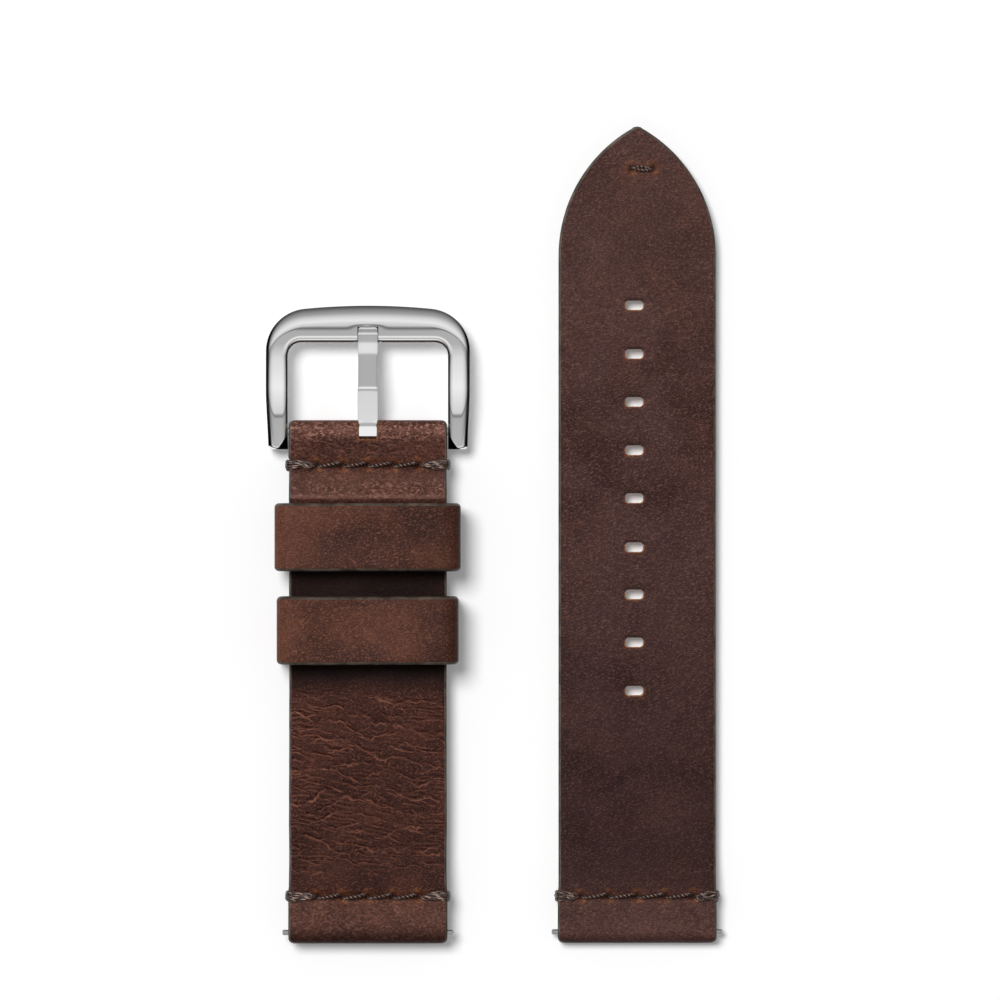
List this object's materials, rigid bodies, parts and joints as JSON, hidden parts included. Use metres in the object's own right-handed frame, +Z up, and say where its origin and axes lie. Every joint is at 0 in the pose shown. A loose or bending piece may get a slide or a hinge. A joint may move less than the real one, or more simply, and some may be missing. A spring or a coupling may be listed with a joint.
{
  "type": "leather watch strap",
  "caption": "Two-piece hand-stitched leather watch strap with a bent pin buckle, a fixed and a sliding keeper, a row of adjustment slots and spring bars at its lug ends",
  "frame": {"origin": "middle of the assembly's footprint, on the surface that both halves lie on", "axes": "Z up out of the front of the leather, Y along the strap from the lug ends to the buckle and the pointed tip, X across it with the buckle half on the negative side"},
  "size_m": [0.0632, 0.1132, 0.008],
  "materials": {
    "outer_leather": "dark reddish brown pull-up leather with fine wrinkles and a waxy sheen",
    "lining_leather": "smooth brown lining leather, slightly matte",
    "keeper_leather": "reddish brown leather loops with dark painted edges",
    "thread": "waxed dark brown twisted thread",
    "buckle_steel": "satin polished stainless steel",
    "bar_steel": "plain turned stainless steel",
    "spring_steel": "drawn spring wire"
  },
  "bodies": {
    "short_strap": {"short_front_leather": "outer_leather", "short_lining": "lining_leather", "buckle_seam_thread": "thread", "short_lug_seam_thread": "thread", "fixed_keeper": "keeper_leather", "short_lug_bar_tube": "bar_steel", "short_lug_bar_spring": "spring_steel"},
    "floating_keeper": {"floating_keeper": "keeper_leather"},
    "buckle": {"buckle_frame": "buckle_steel", "buckle_bar_tube": "bar_steel", "buckle_bar_spring": "spring_steel"},
    "tongue": {"buckle_tongue": "buckle_steel"},
    "long_strap": {"long_front_leather": "outer_leather", "long_lining": "lining_leather", "long_lug_seam_thread": "thread", "tip_tack_thread": "thread", "long_lug_bar_tube": "bar_steel", "long_lug_bar_spring": "spring_steel"},
    "buckle_bar_left_plunger": {"buckle_bar_left_plunger": "bar_steel"},
    "buckle_bar_right_plunger": {"buckle_bar_right_plunger": "bar_steel"},
    "short_lug_bar_left_plunger": {"short_lug_bar_left_plunger": "bar_steel"},
    "short_lug_bar_right_plunger": {"short_lug_bar_right_plunger": "bar_steel"},
    "long_lug_bar_left_plunger": {"long_lug_bar_left_plunger": "bar_steel"},
    "long_lug_bar_right_plunger": {"long_lug_bar_right_plunger": "bar_steel"}
  },
  "joints": [
    {"name": "buckle_swing", "type": "hinge", "parent": "short_strap", "child": "buckle", "pos_m": [-0.01752, 0.01436, 0.00289], "axis": [1, 0, 0], "range_deg": [-75, 35]},
    {"name": "tongue_lift", "type": "hinge", "parent": "buckle", "child": "tongue", "pos_m": [-0.01752, 0.01436, 0.00289], "axis": [1, 0, 0], "range_deg": [0, 70]},
    {"name": "floating_keeper_slide", "type": "slide", "parent": "short_strap", "child": "floating_keeper", "axis": [0, 1, 0], "range_m": [-0.028, 0.0032]},
    {"name": "long_half_lift", "type": "slide", "parent": "short_strap", "child": "long_strap", "axis": [0, 0, 1], "range_m": [0, 0.03]},
    {"name": "buckle_bar_left_press", "type": "slide", "parent": "buckle", "child": "buckle_bar_left_plunger", "axis": [1, 0, 0], "range_m": [0, 0.0012], "stiffness_N_per_m": 300, "springref_m": -0.002, "deforming": ["buckle_bar_spring"]},
    {"name": "buckle_bar_right_press", "type": "slide", "parent": "buckle", "child": "buckle_bar_right_plunger", "axis": [-1, 0, 0], "range_m": [0, 0.0012], "stiffness_N_per_m": 300, "springref_m": -0.002, "deforming": ["buckle_bar_spring"]},
    {"name": "short_lug_bar_left_press", "type": "slide", "parent": "short_strap", "child": "short_lug_bar_left_plunger", "axis": [1, 0, 0], "range_m": [0, 0.0012], "stiffness_N_per_m": 300, "springref_m": -0.002, "deforming": ["short_lug_bar_spring"]},
    {"name": "short_lug_bar_right_press", "type": "slide", "parent": "short_strap", "child": "short_lug_bar_right_plunger", "axis": [-1, 0, 0], "range_m": [0, 0.0012], "stiffness_N_per_m": 300, "springref_m": -0.002, "deforming": ["short_lug_bar_spring"]},
    {"name": "long_lug_bar_left_press", "type": "slide", "parent": "long_strap", "child": "long_lug_bar_left_plunger", "axis": [1, 0, 0], "range_m": [0, 0.0012], "stiffness_N_per_m": 300, "springref_m": -0.002, "deforming": ["long_lug_bar_spring"]},
    {"name": "long_lug_bar_right_press", "type": "slide", "parent": "long_strap", "child": "long_lug_bar_right_plunger", "axis": [-1, 0, 0], "range_m": [0, 0.0012], "stiffness_N_per_m": 300, "springref_m": -0.002, "deforming": ["long_lug_bar_spring"]}
  ]
}
